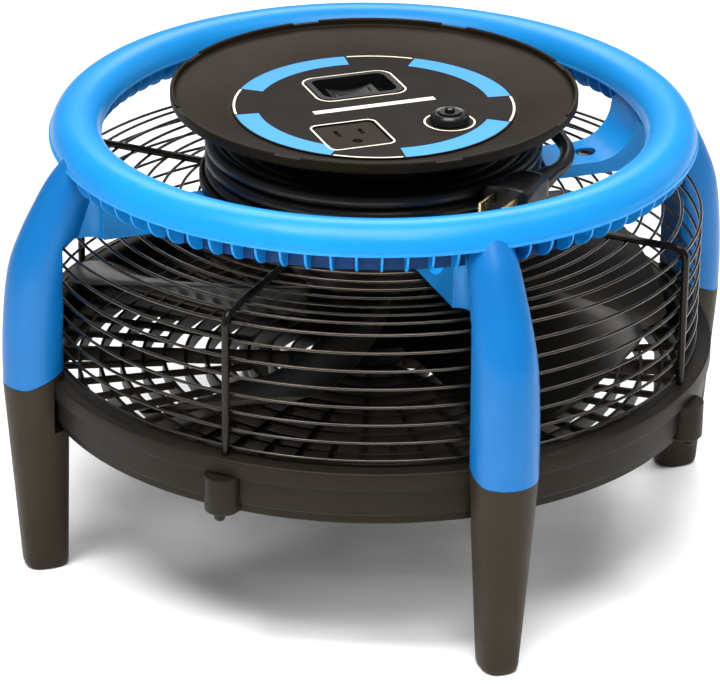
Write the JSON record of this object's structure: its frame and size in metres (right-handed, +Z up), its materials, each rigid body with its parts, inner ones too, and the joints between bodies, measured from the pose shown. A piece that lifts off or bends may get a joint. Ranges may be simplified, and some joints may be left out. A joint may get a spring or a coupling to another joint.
{
  "type": "axial air mover",
  "caption": "Low round axial air mover: ring handle, tapered legs, wire guard, downward fan, and a cord reel topped by a dished control panel.",
  "frame": {"origin": "on the floor, under the fan's axis", "axes": "+Z up along the fan's axis; the legs lie along X and Y; the control panel reads along +X, seen from the -Y side"},
  "size_m": [0.3998, 0.3998, 0.2418],
  "materials": {
    "blue_plastic": "satin moulded blue plastic with a fine grain",
    "black_plastic": "satin moulded black plastic",
    "panel_black": "satin moulded warm black plastic",
    "wire_black": "gloss black coated steel wire",
    "fan_black": "satin black plastic",
    "motor_grey": "dark grey painted steel",
    "steel": "zinc plated steel",
    "copper": "varnished copper winding on a steel core",
    "brass": "plain brass",
    "black_rubber": "satin black flexible vinyl",
    "label_print": "printed film label, dark with plain blue and cream lines",
    "rocker_black": "gloss black moulded plastic"
  },
  "bodies": {
    "frame": {"handle_ring_back_right": "blue_plastic", "handle_ring_back_left": "blue_plastic", "handle_ring_front": "blue_plastic", "arm_spider": "blue_plastic", "leg_right": "blue_plastic", "leg_back": "blue_plastic", "leg_left": "blue_plastic", "leg_front": "blue_plastic", "foot_right": "black_plastic", "foot_back": "black_plastic", "foot_left": "black_plastic", "foot_front": "black_plastic", "arm_screw_right": "wire_black", "arm_screw_back": "wire_black", "arm_screw_left": "wire_black", "arm_screw_front": "wire_black", "base_ring": "black_plastic", "outlet_grille": "black_plastic", "guard_side": "wire_black", "guard_top": "wire_black", "guard_screw_right_back": "black_plastic", "guard_screw_left_back": "black_plastic", "guard_screw_left_front": "black_plastic", "guard_screw_right_front": "black_plastic", "motor_housing": "motor_grey", "motor_end_cap": "motor_grey", "motor_stator": "copper", "motor_bearing_lower": "steel", "motor_bearing_upper": "steel", "motor_screw_right_back": "steel", "motor_screw_left_back": "steel", "motor_screw_left_front": "steel", "motor_screw_right_front": "steel", "reel_tray": "black_plastic", "reel_drum": "black_plastic", "top_dish": "panel_black", "control_label": "label_print", "switch_housing": "rocker_black", "outlet_receptacle": "panel_black", "breaker_body": "rocker_black", "breaker_nut": "rocker_black", "run_capacitor": "black_plastic", "cord_strain_relief": "black_rubber", "power_cord_coil": "black_rubber", "power_cord_lead": "black_rubber", "plug_body": "black_rubber", "plug_blade_1": "brass", "plug_blade_2": "brass", "plug_ground_pin": "brass"},
    "fan": {"motor_shaft": "steel", "motor_rotor": "motor_grey", "fan_hub": "fan_black", "fan_nut": "steel", "fan_blade_1": "fan_black", "fan_blade_2": "fan_black", "fan_blade_3": "fan_black", "fan_blade_4": "fan_black", "fan_blade_5": "fan_black"},
    "rocker": {"switch_rocker": "rocker_black"},
    "reset_button": {"breaker_button": "rocker_black"}
  },
  "joints": [
    {"name": "fan_spin", "type": "hinge", "parent": "frame", "child": "fan", "pos_m": [0, 0, 0.1225], "axis": [0, 0, 1], "continuous": true},
    {"name": "switch_rock", "type": "hinge", "parent": "frame", "child": "rocker", "pos_m": [0, 0.0292, 0.2234], "axis": [0, 1, 0], "range_deg": [-11, 11]},
    {"name": "breaker_press", "type": "slide", "parent": "frame", "child": "reset_button", "axis": [0, 0, -1], "range_m": [0, 0.0025], "stiffness_N_per_m": 400}
  ]
}
